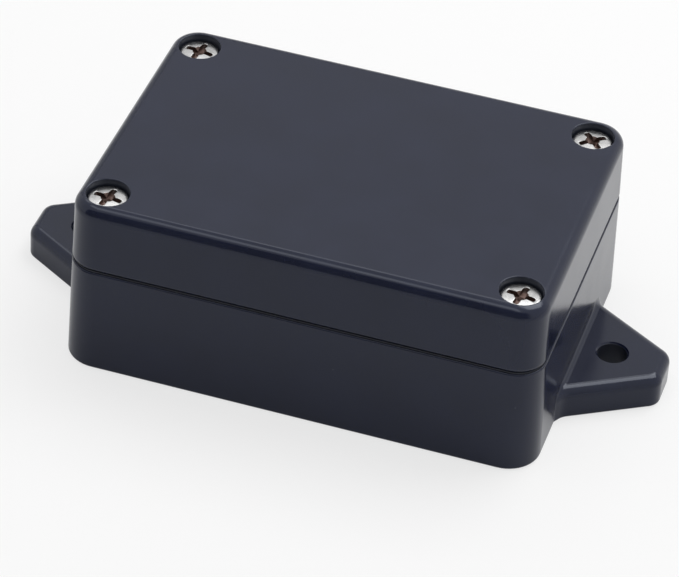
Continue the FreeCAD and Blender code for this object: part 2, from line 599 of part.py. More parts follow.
def make_screw(corner, turned):
    """A pan-head screw with a cross recess; its origin is under the head, on the axis."""
    name = f"screw_{corner_name(*corner)}"
    body = doc.addObject("PartDesign::Body", name)
    body.Label = name
    shank = "Sizes.screw_diameter / 2"
    head = "Sizes.head_diameter / 2"
    end = "-Sizes.screw_length"
    corners = [
        ("0", end),
        (f"{shank} - Sizes.screw_point_height / 2", end),
        (shank, f"{end} + Sizes.screw_point_height"),
        (shank, "0"),
        (head, "0"),
        (head, "Sizes.head_side_height"),
    ]
    sketch = new_sketch(body, f"{name}_profile", role="XZ_Plane")
    points = [FreeCAD.Vector(size_of(x), size_of(y), 0) for x, y in corners]
    crown = FreeCAD.Vector(0, size_of("Sizes.head_height"), 0)
    rise = crown.y - points[-1].y
    crown_radius = (points[-1].x ** 2 + rise ** 2) / (2 * rise)
    crown_centre = FreeCAD.Vector(0, crown.y - crown_radius, 0)
    for first, last in zip(points, points[1:]):
        sketch.addGeometry(Part.LineSegment(first, last), False)
    arc = sketch.addGeometry(arc_between(crown_centre, points[-1], crown), False)
    axis = sketch.addGeometry(Part.LineSegment(crown, points[0]), False)
    for index in range(axis):
        sketch.addConstraint(Sketcher.Constraint("Coincident", index, 2, index + 1, 1))
    sketch.addConstraint(Sketcher.Constraint("Coincident", axis, 2, 0, 1))
    for index, (x, y) in enumerate(corners):
        bind(sketch, f"corner_x{index + 1}", x, "DistanceX", -1, 1, index, 1)
        bind(sketch, f"corner_y{index + 1}", y, "DistanceY", -1, 1, index, 1)
    sketch.addConstraint(Sketcher.Constraint("PointOnObject", arc, 3, -2))
    sketch.addConstraint(Sketcher.Constraint("PointOnObject", axis, 1, -2))
    bind(sketch, "crown", "Sizes.head_height", "DistanceY", -1, 1, axis, 1)
    turned_solid = turn(body, "Revolution", f"{name}_turned", sketch)

    def on_head_side(middle, points):
        offset = math.hypot(middle.x, middle.y)
        return near(middle.z, "Sizes.head_side_height") and near(offset, head)

    round_edges(body, f"{name}_shoulder", turned_solid, on_head_side, "Sizes.head_shoulder")
    span = "Sizes.recess_span / 2"
    arm = "Sizes.recess_slot_width / 2"
    for slot, along, across in (("slot_1", span, arm), ("slot_2", arm, span)):
        slot_sketch = new_sketch(body, f"{name}_{slot}_outline", height="Sizes.head_height")
        add_polygon(slot_sketch, slot, rectangle(f"-{along}", along, f"-{across}", across))
        depth = "Sizes.recess_slot_depth"
        extrude(body, "Pocket", f"{name}_{slot}", slot_sketch, depth, downwards=True)
    pit_sketch = new_sketch(body, f"{name}_pit_profile", role="XZ_Plane")
    add_polygon(pit_sketch, "pit", [
        ("0", "Sizes.head_height - Sizes.recess_pit_depth"),
        ("Sizes.recess_pit_diameter / 2", "Sizes.head_height"),
        ("0", "Sizes.head_height"),
    ])
    turn(body, "Groove", f"{name}_pit", pit_sketch)
    place(body, corner, SCREW_SEAT)
    body.Placement.Rotation = FreeCAD.Rotation(UPRIGHT, turned)
    return body


def place(body, corner, height):
    """Puts a turned piece on the screw axis of a corner, at a height."""
    sx, sy = corner
    body.setExpression("Placement.Base.x", f"{sx} * {SCREW_X}")
    body.setExpression("Placement.Base.y", f"{sy} * {SCREW_Y}")
    body.setExpression("Placement.Base.z", height)


# Degrees that each screw has come to rest at, as it was driven home.
SCREW_TURNS = {(1, 1): 41.0, (-1, 1): -9.0, (-1, -1): -9.0, (1, -1): -10.0}

pieces = [make_base(), make_lid(), make_gasket()]
for corner in CORNERS:
    pieces.append(make_insert(corner))
    pieces.append(make_screw(corner, SCREW_TURNS[corner]))
doc.recompute()

for item in doc.Objects:
    if "Invalid" in item.State or "Error" in item.State:
        raise RuntimeError(f"{item.Name} failed: {item.State}")
for piece in pieces:
    shape = piece.Shape
    if shape.isNull() or not shape.isValid() or len(shape.Solids) != 1:
        raise RuntimeError(f"{piece.Label} is not one valid solid")

os.makedirs("parts", exist_ok=True)
for piece in pieces:
    piece.Shape.exportStep(f"parts/{piece.Label}.step")
    box = piece.Shape.BoundBox
    print(
        f"{piece.Label}: {piece.Shape.Volume:.1f} mm3,"
        f" x {box.XMin:.2f} to {box.XMax:.2f},"
        f" y {box.YMin:.2f} to {box.YMax:.2f},"
        f" z {box.ZMin:.2f} to {box.ZMax:.2f}")
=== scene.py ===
# %% [markdown]
# # A plastic project box, from solid model to picture
#
# The object is a small sealed box for electronics: a moulded base with two mounting
# ears, a moulded lid on a rubber gasket, and four plated screws that turn into brass
# inserts. A solid model of it already exists, at its real size. This lesson loads
# that model and gives it its looks: the camera, the light, the gloss of the plastic,
# and screws with a real cross recess and a real thread.

# %% Load the solid model
import math

import bpy
from mathutils import Matrix, Vector


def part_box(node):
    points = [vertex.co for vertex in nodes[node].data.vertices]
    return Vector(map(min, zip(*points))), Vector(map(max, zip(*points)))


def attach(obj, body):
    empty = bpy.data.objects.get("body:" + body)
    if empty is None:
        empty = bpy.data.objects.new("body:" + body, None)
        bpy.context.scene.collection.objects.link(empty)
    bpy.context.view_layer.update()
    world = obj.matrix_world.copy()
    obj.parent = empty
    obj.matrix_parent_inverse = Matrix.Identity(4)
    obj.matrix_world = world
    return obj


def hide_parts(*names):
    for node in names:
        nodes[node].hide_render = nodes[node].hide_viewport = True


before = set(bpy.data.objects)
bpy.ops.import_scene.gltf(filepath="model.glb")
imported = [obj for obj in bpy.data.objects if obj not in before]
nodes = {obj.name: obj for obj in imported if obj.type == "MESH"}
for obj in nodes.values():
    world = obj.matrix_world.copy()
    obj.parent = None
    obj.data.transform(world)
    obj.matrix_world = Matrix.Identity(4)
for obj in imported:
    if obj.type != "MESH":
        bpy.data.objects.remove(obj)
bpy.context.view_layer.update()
MM = 0.001

# %% [markdown]
# ## The camera
#
# The photograph was taken with a long lens from the front, a little from the right
# and well above the box, and it leans by nearly four degrees. A long lens keeps the
# upright edges almost parallel. The three angles are applied in the order in which a
# person would set up a tripod: walk round the box, tilt down, then lean the camera.

# %% Camera
CAMERA_PLACE = Vector((133.41, -489.19, 407.19)) * MM
CAMERA_ROUND = math.radians(15.38)
CAMERA_DOWN = math.radians(38.36)
CAMERA_LEAN = math.radians(3.81)
CAMERA_LENS = 197.3
CAMERA_SENSOR = 36.0
CAMERA_REACH = (0.05, 20.0)

bpy.ops.object.camera_add(location=CAMERA_PLACE)
camera = bpy.context.object
camera.name = "photo_camera"
walk = Matrix.Rotation(CAMERA_ROUND, 3, "Z")
tilt = Matrix.Rotation(math.pi / 2 - CAMERA_DOWN, 3, "X")
lean = Matrix.Rotation(CAMERA_LEAN, 3, "Z")
camera.rotation_euler = (walk @ tilt @ lean).to_euler()
camera.data.lens = CAMERA_LENS
camera.data.sensor_width = CAMERA_SENSOR
camera.data.clip_start, camera.data.clip_end = CAMERA_REACH
bpy.context.scene.camera = camera
print("camera, degrees:", [round(math.degrees(a), 2) for a in camera.rotation_euler])

# %% [markdown]
# ## Building materials
#
# Every finish here starts from the same shader and hangs a few texture nodes on it.
# A few small helpers keep that short, and each is one step that comes back in several
# finishes. The textures read Object coordinates, so they are in metres and stay where
# they are on the piece, from any side.

# %% Helpers for materials


def new_material(name):
    """A material with a Principled shader, and the handles to build on it."""
    material = bpy.data.materials.new(name)
    material.use_nodes = True
    return material, material.node_tree, material.node_tree.nodes["Principled BSDF"]


def add_node(tree, kind, links=(), **values):
    """A node with some inputs or settings given, and (output, input name) links made."""
    node = tree.nodes.new(kind)
    for name, value in values.items():
        if hasattr(node, name):
            setattr(node, name, value)
        else:
            node.inputs[name.replace("_", " ")].default_value = value
    for output, name in links:
        tree.links.new(output, node.inputs[name])
    return node


def larger(tree, first, second):
    """The larger of two values."""
    return add_node(
        tree, "ShaderNodeMath", operation="MAXIMUM",
        links=((first, 0), (second, 1))).outputs[0]


def times(tree, value, factor):
    """A value times a fixed factor."""
    node = add_node(tree, "ShaderNodeMath", operation="MULTIPLY", links=((value, 0),))
    node.inputs[1].default_value = factor
    return node.outputs[0]


# %% [markdown]
# ## Floor and surroundings
#
# Black glossy plastic has almost no colour of its own: nearly all that the eye sees
# of it is a reflection. So the surroundings are part of the finish. A wide pale floor
# and a white sky give the even, soft grey of the lid. The floor is white paper with a
# glow mixed in, strong where the camera sees it and weak where a reflection does, so
# that it looks nearly white and still keeps the soft shadow of the box.

# %% Floor
bpy.context.scene.view_settings.view_transform = "Standard"
FLOOR_RADIUS = 3.0
FLOOR_CORNERS = 96
FLOOR_PAPER = (0.82, 0.82, 0.82, 1)
FLOOR_GLOW_SEEN = 0.68
FLOOR_GLOW_MIRRORED = 0.27
WHITE = (1, 1, 1, 1)


def make_matt(shader, colour, roughness):
    """Paper or cloth: one colour and no gloss."""
    shader.inputs["Base Color"].default_value = colour
    shader.inputs["Roughness"].default_value = roughness
    shader.inputs["Specular IOR Level"].default_value = 0.0


bpy.ops.mesh.primitive_circle_add(
    vertices=FLOOR_CORNERS, radius=FLOOR_RADIUS, fill_type="NGON", location=(0, 0, 0))
floor = bpy.context.object
floor.name = "floor"
floor_paint, paper, floor_shader = new_material("floor_paper")
make_matt(floor_shader, FLOOR_PAPER, roughness=0.9)
ray = add_node(paper, "ShaderNodeLightPath").outputs
mirrored = larger(paper, ray["Is Glossy Ray"], ray["Is Transmission Ray"])
glow_share = larger(
    paper, times(paper, ray["Is Camera Ray"], FLOOR_GLOW_SEEN),
    times(paper, mirrored, FLOOR_GLOW_MIRRORED))
white_glow = add_node(paper, "ShaderNodeEmission", Color=WHITE, Strength=1.0)
floor_mix = add_node(paper, "ShaderNodeMixShader", links=(
    (glow_share, 0), (floor_shader.outputs[0], 1), (white_glow.outputs[0], 2)))
paper.links.new(floor_mix.outputs[0], paper.nodes["Material Output"].inputs["Surface"])
floor.data.materials.append(floor_paint)
print("floor:", FLOOR_RADIUS, "m in radius")

# %% [markdown]
# The sky is plain white wherever the camera or a reflection sees it, and dimmer where
# it only lights things. A white room could do the same, but it would need walls, and
# the mirrored corners of a room would show on the box.

# %% Sky
SKY_AS_LIGHT = 0.62

world = bpy.data.worlds.new("white_sky")
bpy.context.scene.world = world
world.use_nodes = True
sky = world.node_tree
sky.nodes.clear()
ray = add_node(sky, "ShaderNodeLightPath").outputs
seen = larger(
    sky, larger(sky, ray["Is Camera Ray"], ray["Is Glossy Ray"]), ray["Is Transmission Ray"])
lighting_sky = add_node(sky, "ShaderNodeBackground", Color=WHITE, Strength=SKY_AS_LIGHT)
seen_sky = add_node(sky, "ShaderNodeBackground", Color=WHITE, Strength=1.0)
either_sky = add_node(sky, "ShaderNodeMixShader", links=(
    (seen, 0), (lighting_sky.outputs[0], 1), (seen_sky.outputs[0], 2)))
add_node(sky, "ShaderNodeOutputWorld", links=((either_sky.outputs[0], "Surface"),))
print("sky as a light:", SKY_AS_LIGHT)

# %% [markdown]
# ## Lamps
#
# A large soft box high up, behind the box and to the right, is the main light. It hangs
# where none of the flat faces mirrors it, and throws a short soft shadow forwards. Two
# dim strips overhead draw a double line along the rounded rim of the lid. Places and
# sizes here are in metres, because a studio is large beside the box.

# %% Lamps
BOX_MIDDLE = Vector((0, 0, 15)) * MM


def soft_box(name, place, size, power):
    """A rectangular area lamp that looks at the box."""
    bpy.ops.object.light_add(type="AREA", location=place)
    lamp = bpy.context.object
    lamp.name = name
    lamp.data.shape = "RECTANGLE"
    lamp.data.size, lamp.data.size_y = size
    lamp.data.energy = power
    look = BOX_MIDDLE - Vector(place)
    lamp.rotation_euler = look.to_track_quat("-Z", "Y").to_euler()
    return lamp


lamps = [
    soft_box("key_soft_box", place=(0.30, 0.33, 0.82), size=(0.60, 0.60), power=4.3),
    soft_box("back_strip", place=(-0.19, 0.54, 0.76), size=(0.90, 0.16), power=0.80),
    soft_box("front_strip", place=(-0.19, -0.18, 0.92), size=(0.90, 0.20), power=1.0),
]
print("lamps, watts:", {lamp.name: round(lamp.data.energy, 2) for lamp in lamps})

# %% [markdown]
# ## A dark cloth and a grey card
#
# A dark cloth hangs behind the camera, out of its sight. Glossy things mirror it as
# the dark band that sets the top of the box off from its front. A grey card at the
# back left keeps the left and back rims of the lid from glowing. A photographer does
# this with cloth and card too, because a lamp can only add light.

# %% Cloth and card


def hang_panel(name, place, size, turn, grey):
    """An upright matt panel that the camera does not see but glossy things mirror."""
    bpy.ops.mesh.primitive_plane_add(size=1.0, location=place)
    panel = bpy.context.object
    panel.name = name
    panel.scale = (*size, 1.0)
    panel.rotation_euler = (math.pi / 2, 0, math.radians(turn))
    panel.visible_camera = False
    paint, _, shader = new_material(f"{name}_paint")
    make_matt(shader, (grey, grey, grey, 1), roughness=1.0)
    panel.data.materials.append(paint)


hang_panel("dark_cloth", place=(-0.15, -0.85, 0.65), size=(2.20, 1.30), turn=0, grey=0.36)
hang_panel("grey_card", place=(-0.50, 0.86, 0.29), size=(0.85, 0.56), turn=30, grey=0.82)

# %% [markdown]
# ## Reading and changing a texture
#
# Noise is the raw stuff of every finish here. It is carried over to a range of gloss,
# turned into a colour between two tones, or used as a tiny height that tilts the light.

# %% Helpers for textures


def noise(tree, place, scale, detail=2.0, roughness=0.5):
    """A cloudy value, with its features about 1 / scale metres wide."""
    return add_node(
        tree, "ShaderNodeTexNoise", Scale=scale, Detail=detail, Roughness=roughness,
        links=((place, "Vector"),)).outputs["Fac"]


def spread(tree, value, low, high, start=0.0, end=1.0):
    """A value carried from the range start to end over to the range low to high."""
    return add_node(
        tree, "ShaderNodeMapRange", From_Min=start, From_Max=end, To_Min=low, To_Max=high,
        links=((value, "Value"),)).outputs["Result"]


def tone(tree, value, dark, pale, start=0.0, end=1.0):
    """A colour that goes from dark to pale as a value goes from start to end."""
    ramp = add_node(tree, "ShaderNodeValToRGB", links=((value, "Fac"),))
    first, last = ramp.color_ramp.elements
    first.position, first.color = start, dark
    last.position, last.color = end, pale
    return ramp.outputs["Color"]


def bump(tree, height, strength, distance, links=()):
    """The tilt of the surface over a height given as a value."""
    return add_node(
        tree, "ShaderNodeBump", Strength=strength, Distance=distance,
        links=((height, "Height"), *links)).outputs["Normal"]


# %% [markdown]
# ## Where the core pins stood
#
# The round holes of a moulding are formed by core pins, and nobody polishes those. So
# the walls of the screw seats and of the ear holes are matt. They are also painted a shade
# greyer than the skin, as painted light that lifts the dark inside the holes. The distance
# from each pin's axis tells the shader where that is. Painting the faces would do too, but
# it would have to be done again after each change of shape.

# %% Core pins
SEAT_AXIS = Vector((35.85, 22.95, 0)) * MM
SEAT_PIN = 3.72 * MM
EAR_AXIS = Vector((47.9, 0, 0)) * MM
EAR_PIN = 2.63 * MM
PIN_BORDER = 0.06 * MM


def vector_step(tree, operation, vector, other=(0, 0, 0)):
    """The outputs of one step of vector arithmetic with a fixed second vector."""
    node = add_node(tree, "ShaderNodeVectorMath", operation=operation, links=((vector, 0),))
    node.inputs[1].default_value = other
    return node.outputs


def inside_pins(tree, place, axis, pin_radius):
    """1 inside upright pins mirrored left to right and front to back, 0 outside."""
    one_quarter = vector_step(tree, "ABSOLUTE", place)["Vector"]
    from_pin = vector_step(tree, "SUBTRACT", one_quarter, axis)["Vector"]
    flat = vector_step(tree, "MULTIPLY", from_pin, (1, 1, 0))["Vector"]
    distance = vector_step(tree, "LENGTH", flat)["Value"]
    return spread(
        tree, distance, low=1.0, high=0.0, start=pin_radius, end=pin_radius + PIN_BORDER)


# %% [markdown]
# ## Black moulded plastic
#
# Base and lid are injection-moulded ABS with a deep blue-black colour. The mould was
# polished, so the skin is glossy, but it is a little duller in patches where the melt
# cooled first. One middling noise gives the patches, for the gloss and for the pigment.
# A few tiny dust specks lie on it, because a black box is never quite clean.

# %% Colour and gloss of the plastic
PIGMENT_DARK = (0.0036, 0.0054, 0.0195, 1)
PIGMENT_PALE = (0.0048, 0.0070, 0.0235, 1)
# The greyer colour of the pin walls is painted light, which lifts the dark inside the holes.
PIN_WALL_PAINTED_LIGHT_COLOUR = (0.019, 0.022, 0.034, 1)
DUST_COLOUR = (0.15, 0.15, 0.16, 1)
POLISHED, COOLED_FIRST, PIN_WALL_ROUGHNESS = 0.13, 0.19, 0.42


def plastic_skin(tree, shader, place):
    """Colour and roughness of the plastic: pigment, matt pin walls with painted light, and
    dust.
    """
    patches = noise(tree, place, scale=95.0, detail=3.0, roughness=0.55)
    pin_walls = larger(
        tree, inside_pins(tree, place, SEAT_AXIS, SEAT_PIN),
        inside_pins(tree, place, EAR_AXIS, EAR_PIN))
    gloss = spread(tree, patches, POLISHED, COOLED_FIRST, start=0.3, end=0.7)
    roughness = add_node(
        tree, "ShaderNodeMix", links=((pin_walls, "Factor"), (gloss, "A")))
    roughness.inputs["B"].default_value = PIN_WALL_ROUGHNESS
    tree.links.new(roughness.outputs["Result"], shader.inputs["Roughness"])
    pigment = tone(tree, patches, PIGMENT_DARK, PIGMENT_PALE, start=0.35, end=0.65)
    # Painted light: inside the pin walls the colour turns greyer, which lifts the dark of
    # the holes.
    pigment_and_painted_pin_light = add_node(tree, "ShaderNodeMixRGB", Color2=PIN_WALL_PAINTED_LIGHT_COLOUR, links=(
        (pin_walls, "Fac"), (pigment, "Color1")))
    grit = add_node(tree, "ShaderNodeTexVoronoi", Scale=200.0, links=((place, "Vector"),))
    speck = spread(
        tree, grit.outputs["Distance"], low=1.0, high=0.0, start=0.008, end=0.016)
    dusty = add_node(tree, "ShaderNodeMixRGB", Color2=DUST_COLOUR, links=(
        (speck, "Fac"), (pigment_and_painted_pin_light.outputs["Color"], "Color1")))
    tree.links.new(dusty.outputs["Color"], shader.inputs["Base Color"])


# %% [markdown]
# A real moulding is never a perfect mirror: it carries the faint grain of the mould's
# steel, and its flat walls sink by some micrometres as it cools. A fine noise gives the
# grain and a wide one the sinking. Both only tilt the light, because modelling dents
# that shallow would need a very fine mesh.

# %% The plastic
PLASTIC_IOR = 1.435
PLASTIC_TINT = (0.85, 0.90, 1.0, 1)


def make_plastic():
    material, tree, shader = new_material("black_moulded_plastic")
    shader.inputs["IOR"].default_value = PLASTIC_IOR
    shader.inputs["Specular Tint"].default_value = PLASTIC_TINT
    place = add_node(tree, "ShaderNodeTexCoord").outputs["Object"]
    plastic_skin(tree, shader, place)
    fine = noise(tree, place, scale=3200.0)
    wide = noise(tree, place, scale=42.0, detail=1.0)
    grain = bump(tree, fine, strength=0.06, distance=0.02 * MM)
    sinking = bump(
        tree, wide, strength=0.2, distance=0.03 * MM, links=((grain, "Normal"),))
    tree.links.new(sinking, shader.inputs["Normal"])
    return material


black_plastic = make_plastic()
print("plastic:", len(black_plastic.node_tree.nodes), "nodes")

# %% [markdown]
# ## Silicone rubber
#
# The gasket is a cut ring of matt rubber with a slight bloom, the pale dust that rubber
# sweats out. A fine noise mixes two dark greys for it, and a finer one gives the pores.

# %% Rubber


def make_rubber():
    material, tree, shader = new_material("matt_black_rubber")
    place = add_node(tree, "ShaderNodeTexCoord").outputs["Object"]
    bloom = noise(tree, place, scale=600.0, detail=4.0)
    colour = tone(
        tree, bloom, dark=(0.008, 0.010, 0.015, 1), pale=(0.021, 0.024, 0.034, 1))
    tree.links.new(colour, shader.inputs["Base Color"])
    shader.inputs["Roughness"].default_value = 0.62
    pores = noise(tree, place, scale=4000.0)
    pitted = bump(tree, pores, strength=0.3, distance=0.03 * MM)
    tree.links.new(pitted, shader.inputs["Normal"])
    return material


matt_rubber = make_rubber()
print("rubber:", len(matt_rubber.node_tree.nodes), "nodes")

# %% [markdown]
# ## Turned brass
#
# The inserts are turned from brass, and the tool left fine rings that run round each
# one. They come from a noise that is squeezed along the upright axis, so that it varies
# quickly in height and hardly at all round the piece.

# %% Brass
RING_SQUEEZE = (150.0, 150.0, 9000.0)


def make_brass():
    material, tree, shader = new_material("turned_brass")
    shader.inputs["Metallic"].default_value = 1.0
    place = add_node(tree, "ShaderNodeTexCoord").outputs["Object"]
    squeezed = add_node(
        tree, "ShaderNodeMapping", Scale=RING_SQUEEZE,
        links=((place, "Vector"),)).outputs["Vector"]
    rings = noise(tree, squeezed, scale=1.0)
    colour = tone(tree, rings, dark=(0.60, 0.42, 0.17, 1), pale=(0.86, 0.66, 0.33, 1))
    tree.links.new(colour, shader.inputs["Base Color"])
    tree.links.new(spread(tree, rings, low=0.2, high=0.36), shader.inputs["Roughness"])
    ridged = bump(tree, rings, strength=0.35, distance=0.02 * MM)
    tree.links.new(ridged, shader.inputs["Normal"])
    return material


brass = make_brass()
print("brass:", len(brass.node_tree.nodes), "nodes")

# %% [markdown]
# ## Plated steel
#
# The screws are zinc plated, bright but not polished, with a faint cloudiness. Their
# recess was pressed in and holds plating salts and shadow, so it gets a darker, browner
# steel of its own. One function makes both, because only their tones differ.

# %% Steel


def make_steel(name, dark, pale, smooth, dull):
    material, tree, shader = new_material(name)
    shader.inputs["Metallic"].default_value = 1.0
    place = add_node(tree, "ShaderNodeTexCoord").outputs["Object"]
    cloud = noise(tree, place, scale=900.0, detail=5.0, roughness=0.6)
    colour = tone(tree, cloud, (*dark, 1), (*pale, 1), start=0.3, end=0.62)
    tree.links.new(colour, shader.inputs["Base Color"])
    tree.links.new(spread(tree, cloud, smooth, dull), shader.inputs["Roughness"])
    uneven = bump(tree, cloud, strength=0.2, distance=0.02 * MM)
    tree.links.new(uneven, shader.inputs["Normal"])
    return material


bright_steel = make_steel(
    "bright_plated_steel", dark=(0.40, 0.398, 0.397), pale=(0.52, 0.517, 0.515),
    smooth=0.2, dull=0.3)
recess_steel = make_steel(
    "darkened_recess_steel", dark=(0.075, 0.048, 0.040), pale=(0.17, 0.118, 0.104),
    smooth=0.4, dull=0.55)
print("steels:", bright_steel.name, "and", recess_steel.name)

# %% [markdown]
# ## One screw, turned
#
# A pan-head screw is a turned part, so it grows from a disc: the disc is pushed up and
# widened or narrowed, step by step, along the profile of a real screw. The sizes are
# read from the solid screw that this one replaces, so the head fills its seat.

# %% Sizes of the screw
screw_names = [name for name in nodes if name.startswith("screw")]
low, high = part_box(screw_names[0])
SCREW_LENGTH = 16.0 * MM
HEAD_HEIGHT = high[2] - low[2] - SCREW_LENGTH
HEAD_RADIUS = (high[0] - low[0]) / 2
THREAD_ROOT = 1.62 * MM
THREAD_CREST = 1.96 * MM
THREAD_PITCH = 0.7 * MM
print("screw head, mm:", round(HEAD_HEIGHT / MM, 2), "high, radius",
      round(HEAD_RADIUS / MM, 2))

# %% [markdown]
# Shaping happens in edit mode, where an operator acts on all that is selected. So each
# piece is opened alone and with nothing selected in it. A piece keeps its place in its
# mesh, with its object at the origin, so that textures and joints find it there.

# %% Helpers for modelling


def in_edit_mode(piece):
    """Selects one piece alone and opens it with nothing selected in it."""
    if bpy.context.object and bpy.context.object.mode != "OBJECT":
        bpy.ops.object.mode_set(mode="OBJECT")
    bpy.ops.object.select_all(action="DESELECT")
    bpy.context.view_layer.objects.active = piece
    piece.select_set(True)
    bpy.ops.object.mode_set(mode="EDIT")
    bpy.ops.mesh.select_all(action="DESELECT")


def out_of_edit_mode(piece):
    """Closes edit mode and hands the piece back."""
    bpy.ops.object.mode_set(mode="OBJECT")
    return piece


def set_in_mesh(piece, name):
    """Names a new primitive and moves its place, turn and scale into its mesh."""
    piece.name = name
    bpy.ops.object.transform_apply(location=True, rotation=True, scale=True)
    return piece


# %% [markdown]
# Spinning the profile about the axis would make the same shape. Growing it from a disc
# leaves nothing to merge at the axis, and both ends are closed from the start.

# %% Grow a turned piece
ROUND_STEPS = 64


def grow_from_disc(name, profile):
    """A turned piece: a disc pushed along its axis through (radius, height) steps."""
    radius, height = profile[0]
    bpy.ops.object.select_all(action="DESELECT")
    bpy.ops.mesh.primitive_circle_add(
        vertices=ROUND_STEPS, radius=radius, fill_type="NGON", location=(0, 0, height))
    piece = set_in_mesh(bpy.context.object, name)
    in_edit_mode(piece)
    bpy.ops.mesh.select_all(action="SELECT")
    for next_radius, next_height in profile[1:]:
        bpy.ops.mesh.extrude_region_move(
            TRANSFORM_OT_translate={"value": (0, 0, next_height - height)})
        wider = next_radius / radius
        bpy.ops.transform.resize(
            value=(wider, wider, 1), center_override=(0, 0, next_height))
        radius, height = next_radius, next_height
    bpy.ops.mesh.select_all(action="SELECT")
    bpy.ops.mesh.normals_make_consistent(inside=False)
    return out_of_edit_mode(piece)


# %% [markdown]
# The head's profile is a pan: an upright side, a rounded shoulder and a crown that
# rises by a quarter of a millimetre. Below it the shank starts with a short neck and
# ends in a blunt point. All of it stays inside the box of the solid screw.

# %% The head and the shank
SIDE_TOP = 0.74 * HEAD_HEIGHT
CROWN_RISE = 0.26 * MM
CROWN_STEPS = (2.9, 2.4, 1.9, 1.4, 0.9, 0.4)
SHOULDER_RADIUS = 0.32 * MM
SHOULDER_STEPS = (0, 18, 36, 54, 72)
CHAMFER_WIDTH, CHAMFER_HEIGHT = 0.16 * MM, 0.12 * MM
POINT_RADIUS, POINT_HEIGHT = 1.35 * MM, 0.5 * MM
NECK_RADIUS, NECK_LOW, NECK_HIGH = 1.90 * MM, -0.9 * MM, -0.5 * MM
UNDER_HEAD = -0.02 * MM


def crown_at(radius):
    """Height of the crown over a radius, above the underside of the head."""
    return HEAD_HEIGHT - CROWN_RISE * (radius / HEAD_RADIUS) ** 2


def head_profile():
    """(radius, height) steps from the point of the screw to the top of its crown."""
    shoulder = []
    centre = HEAD_RADIUS - SHOULDER_RADIUS
    for degrees in SHOULDER_STEPS:
        turn = math.radians(degrees)
        radius = centre + SHOULDER_RADIUS * math.cos(turn)
        rise = SIDE_TOP + (crown_at(centre) - SIDE_TOP) * math.sin(turn)
        shoulder.append((radius, rise))
    crown = [(r * MM, crown_at(r * MM)) for r in CROWN_STEPS]
    return [
        (POINT_RADIUS, -SCREW_LENGTH),
        (THREAD_ROOT, -SCREW_LENGTH + POINT_HEIGHT),
        (THREAD_ROOT, NECK_LOW),
        (NECK_RADIUS, NECK_HIGH),
        (THREAD_CREST, UNDER_HEAD),
        (HEAD_RADIUS - CHAMFER_WIDTH, 0.0),
        (HEAD_RADIUS, CHAMFER_HEIGHT),
        *shoulder,
        *crown,
    ]


screw = grow_from_disc("screw_model", head_profile())
print("screw blank:", len(screw.data.polygons), "faces")

# %% [markdown]
# ## The cross recess
#
# The recess is pressed in by a punch, so a punch is modelled and then cut out. Two
# tapered bars with rounded ends make the cross, and a cone between them makes the
# hollow corners that catch the light on the real head.

# %% The bars of the punch
RECESS_SPAN = 5.9 * MM
RECESS_ARM = 1.25 * MM
RECESS_DEPTH = 0.95 * MM
BAR_ABOVE = 0.3 * MM
BAR_ROUNDING = 0.36 * RECESS_ARM
BAR_NARROWING = (0.86, 0.82, 1)
FACES_DOWN = -0.9


def recess_bar(name, quarter_turn):
    """One bar of the punch: a box narrowed downwards, with its upright ends rounded."""
    height = RECESS_DEPTH + BAR_ABOVE
    middle = HEAD_HEIGHT + BAR_ABOVE - height / 2
    bpy.ops.object.select_all(action="DESELECT")
    bpy.ops.mesh.primitive_cube_add(size=1.0, location=(0, 0, middle))
    bar = bpy.context.object
    size = (RECESS_SPAN, RECESS_ARM) if not quarter_turn else (RECESS_ARM, RECESS_SPAN)
    bar.scale = (*size, height)
    set_in_mesh(bar, name)
    in_edit_mode(bar)
    bpy.ops.mesh.select_mode(type="EDGE")
    out_of_edit_mode(bar)
    for edge in bar.data.edges:
        first, last = (bar.data.vertices[i].co for i in edge.vertices)
        edge.select = abs(first.z - last.z) > height / 2
    bpy.ops.object.mode_set(mode="EDIT")
    bpy.ops.mesh.bevel(offset=BAR_ROUNDING, segments=5, affect="EDGES")
    out_of_edit_mode(bar)
    for face in bar.data.polygons:
        face.select = face.normal.z < FACES_DOWN
    bpy.ops.object.mode_set(mode="EDIT")
    bpy.ops.mesh.select_mode(type="FACE")
    bpy.ops.transform.resize(
        value=BAR_NARROWING, center_override=(0, 0, middle - height / 2))
    return out_of_edit_mode(bar)


# %% [markdown]
# The cone reaches deeper than the bars, as the point of a real punch does. Each tool is
# cut out by a Boolean modifier, with the exact solver because bars and cone cross.

# %% The cone of the punch, and the cut
CONE_STEPS = 32
CONE_POINT_RADIUS = 0.25 * MM
CONE_MOUTH_RADIUS = 1.40 * MM
CONE_DEPTH = 1.5 * MM
CONE_ABOVE = 0.2 * MM


def recess_cone():
    """The blunt cone between the bars, with its mouth upwards."""
    height = CONE_DEPTH + CONE_ABOVE
    bpy.ops.object.select_all(action="DESELECT")
    bpy.ops.mesh.primitive_cone_add(
        vertices=CONE_STEPS, radius1=CONE_POINT_RADIUS, radius2=CONE_MOUTH_RADIUS,
        depth=height, location=(0, 0, HEAD_HEIGHT + CONE_ABOVE - height / 2))
    return set_in_mesh(bpy.context.object, "punch_cone")


def cut(piece, tool):
    """Cuts a tool out of a piece and throws the tool away."""
    bpy.ops.object.select_all(action="DESELECT")
    bpy.context.view_layer.objects.active = piece
    piece.select_set(True)
    bpy.ops.object.modifier_add(type="BOOLEAN")
    modifier = piece.modifiers[-1]
    modifier.operation = "DIFFERENCE"
    modifier.solver = "EXACT"
    modifier.object = tool
    bpy.ops.object.modifier_apply(modifier=modifier.name)
    bpy.data.objects.remove(tool, do_unlink=True)


for punch in (
        recess_bar("punch_bar", False), recess_bar("punch_cross_bar", True), recess_cone()):
    cut(screw, punch)
print("screw with its recess:", len(screw.data.polygons), "faces")

